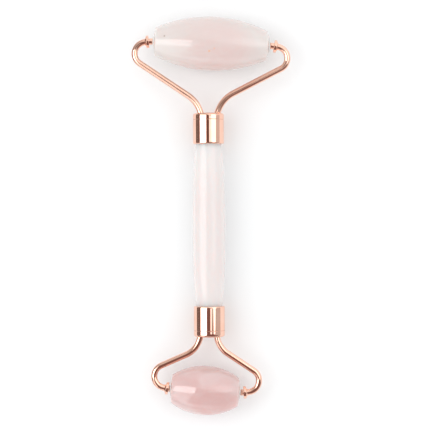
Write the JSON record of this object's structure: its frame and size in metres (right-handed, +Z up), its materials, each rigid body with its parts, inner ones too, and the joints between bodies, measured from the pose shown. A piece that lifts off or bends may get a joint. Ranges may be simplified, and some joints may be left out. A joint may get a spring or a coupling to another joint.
{
  "type": "face roller",
  "caption": "Double-ended facial massage roller with a polished stone handle, wire forks and stone rollers that spin freely.",
  "frame": {"origin": "middle of the whole outline seen from above, on the surface that the tool lies on", "axes": "+Z up from that surface, +Y along the handle towards the large roller, +X to the right seen from above with the large roller at the top, nearly along the rollers' axes"},
  "size_m": [0.0572, 0.1434, 0.0194],
  "materials": {
    "handle_quartz": "polished",
    "roller_quartz": "polished",
    "rose_gold": "mirror polish",
    "bush": "translucent",
    "adhesive": "clear resin"
  },
  "bodies": {
    "handle": {"handle_stone": "handle_quartz", "large_end_sleeve": "rose_gold", "large_end_cap": "rose_gold", "large_end_adhesive": "adhesive", "small_end_sleeve": "rose_gold", "small_end_cap": "rose_gold", "small_end_adhesive": "adhesive", "large_fork_left_arm": "rose_gold", "large_fork_right_arm": "rose_gold", "small_fork_left_arm": "rose_gold", "small_fork_right_arm": "rose_gold", "large_left_collar": "rose_gold", "large_right_collar": "rose_gold", "small_left_collar": "rose_gold", "small_right_collar": "rose_gold"},
    "large_roller": {"large_roller_stone": "roller_quartz", "large_left_bush": "bush", "large_right_bush": "bush"},
    "small_roller": {"small_roller_stone": "roller_quartz", "small_left_bush": "bush", "small_right_bush": "bush"}
  },
  "joints": [
    {"name": "large_roller_spin", "type": "hinge", "parent": "handle", "child": "large_roller", "pos_m": [0.00018, 0.06199, 0.0097], "axis": [0.9992, -0.041, -0.0003], "continuous": true},
    {"name": "small_roller_spin", "type": "hinge", "parent": "handle", "child": "small_roller", "pos_m": [-0.00235, -0.06284, 0.00885], "axis": [0.9983, -0.0576, -0.0004], "continuous": true}
  ]
}
